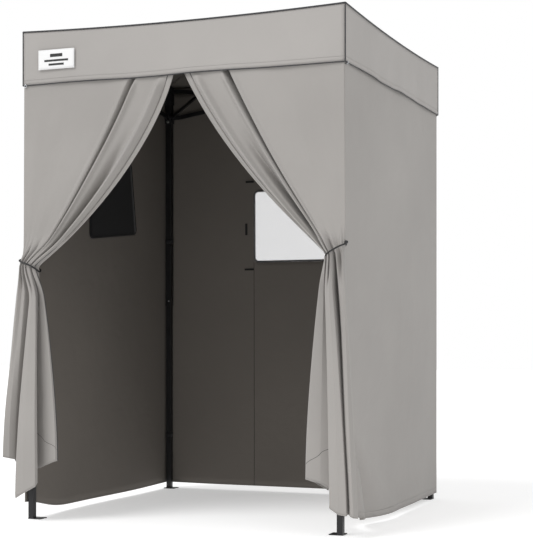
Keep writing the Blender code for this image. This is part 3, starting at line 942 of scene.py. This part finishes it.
def build_tie(hand, body):
    """The elastic cord round the gathered curtain, with a ball toggle at the tent's corner."""
    name = "left" if hand < 0 else "right"
    front = MIDDLE_Y - WALL
    back = front + 0.0035
    shape = CURTAINS[name]
    inner = shape["tie"][-1][1]
    deep = max(row[2] for row in shape["tie"])
    z = shape["tie_z"]
    if hand < 0:
        drop, at_ball = 0.72, Vector((hand * (HALF + 0.006), front + 0.020, z + 0.034))
    else:
        drop, at_ball = 1.0, Vector((hand * (HALF + 0.004), front - 0.004, z + 0.044))
    route = [
        at_ball,
        Vector((hand * 0.742, front - 0.022, z + drop * 0.037)),
        Vector((hand * 0.722, front - deep + 0.008, z + drop * 0.025)),
        Vector((hand * (inner + 0.026), front - deep - 0.006, z + 0.004)),
        Vector((hand * (inner + 0.005), front - deep + 0.012, z - 0.010)),
        Vector((hand * (inner - 0.005), front - 0.018, z - 0.026)),
        Vector((hand * (inner + 0.006), back, z - 0.014)),
        Vector((hand * (inner + 0.045), back, z + 0.008)),
        Vector((hand * 0.733, back, z + 0.030)),
        at_ball + Vector((0, 0.003, -0.003)),
    ]
    cord = tube(f"tie_cord_{name}", smooth_path(route), 0.0036, CORD, body)
    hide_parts(f"curtain_tie_{name}")
    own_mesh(cord)
    mesh = bpy.data.meshes.new(f"tie_ball_{name}")
    ball = bmesh.new()
    bmesh.ops.create_uvsphere(ball, u_segments=20, v_segments=12, radius=BALL)
    for vertex in ball.verts:
        vertex.co = Vector((vertex.co.x, vertex.co.y, vertex.co.z * 0.85)) + at_ball
    ball.to_mesh(mesh)
    ball.free()
    finish_mesh(f"tie_ball_{name}", mesh, [NYLON], body)


# Straps that hold the walls to the legs


LEG_STRAPS = ((0.28, 0.0135), (1.30, 0.0160))  # each one's height and half width


def build_leg_straps():
    """Loops of webbing on the walls. The leg slides up through the lower one, so both ride the outer leg."""
    for corner in CORNERS:
        leg_low, leg_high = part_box(f"outer_leg_{corner}")
        x, y = (leg_low.x + leg_high.x) / 2, (leg_low.y + leg_high.y) / 2
        for n, (z, half) in enumerate(LEG_STRAPS):
            loop = [(x + a, y + b) for a, b in rounded(-half, -half, half, half, 0.004, 4)]
            rows = [[Vector((a, b, z + d)) for a, b in loop] for d in (-0.0125, 0.0125)]
            mesh = grid_mesh(f"leg_strap_{n}_{corner}", rows, closed=True)
            finish_mesh(f"leg_strap_{n}_{corner}", mesh, [WEBBING], "leg_" + corner, thick=0.0012, offset=1.0)


# Stage


def build_stage():
    """A pale floor, soft light from all round, and a white background."""
    mesh = bpy.data.meshes.new("floor")
    shape = bmesh.new()
    bmesh.ops.create_grid(shape, x_segments=2, y_segments=2, size=30)
    shape.to_mesh(mesh)
    shape.free()
    floor = bpy.data.objects.new("floor", mesh)
    bpy.context.scene.collection.objects.link(floor)
    paint, tree, shader = nodes_of("studio_floor")
    shader.inputs["Base Color"].default_value = (0.80, 0.80, 0.80, 1)
    shader.inputs["Roughness"].default_value = 0.9
    shader.inputs["Emission Color"].default_value = (1, 1, 1, 1)
    shader.inputs["Emission Strength"].default_value = 0.43
    mesh.materials.append(paint)
    world = bpy.data.worlds.new("studio")
    bpy.context.scene.world = world
    world.use_nodes = True
    tree = world.node_tree
    light = tree.nodes["Background"]
    light.inputs["Color"].default_value = (1, 1, 1, 1)
    light.inputs["Strength"].default_value = 0.62
    backdrop = add_node(tree, "ShaderNodeBackground", Color=(1, 1, 1, 1), Strength=1.0)
    seen = tree.nodes.new("ShaderNodeLightPath")
    choice = tree.nodes.new("ShaderNodeMixShader")
    link(tree, seen, "Is Camera Ray", choice, "Fac")
    tree.links.new(light.outputs["Background"], choice.inputs[1])
    tree.links.new(backdrop.outputs["Background"], choice.inputs[2])
    link(tree, choice, "Shader", tree.nodes["World Output"], "Surface")
    bpy.context.scene.view_settings.view_transform = "Standard"


def sun(name, azimuth, height, strength, spread_deg):
    """A distant soft light. azimuth is the side it comes from: 0 is the front, and 90 the tent's right."""
    data = bpy.data.lights.new(name, "SUN")
    data.energy = strength
    data.angle = math.radians(spread_deg)
    lamp = bpy.data.objects.new(name, data)
    bpy.context.scene.collection.objects.link(lamp)
    a, h = math.radians(azimuth), math.radians(height)
    source = Vector((math.sin(a) * math.cos(h), -math.cos(a) * math.cos(h), math.sin(h)))
    lamp.rotation_euler = (-source).to_track_quat("-Z", "Y").to_euler()


def build_lights():
    sun("key", azimuth=-35, height=48, strength=1.55, spread_deg=30)
    sun("fill", azimuth=60, height=35, strength=0.30, spread_deg=40)


def build_camera():
    """The camera stands in front, to the right, low down and level, with its lens shifted."""
    data = bpy.data.cameras.new("camera")
    camera = bpy.data.objects.new("camera", data)
    bpy.context.scene.collection.objects.link(camera)
    data.lens = 95.6
    data.sensor_width = 36
    data.shift_x = 0.040
    data.shift_y = 0.1316
    camera.location = (2.493, -6.105, 0.781)
    camera.rotation_euler = (math.radians(90), 0, math.radians(22.02))
    bpy.context.scene.camera = camera


def main():
    build_camera()
    paint_frame()
    build_roof()
    build_valance()
    build_label()
    build_walls()
    for hand in (-1, 1):
        build_curtain(hand)
    build_leg_straps()
    build_stage()
    build_lights()


main()
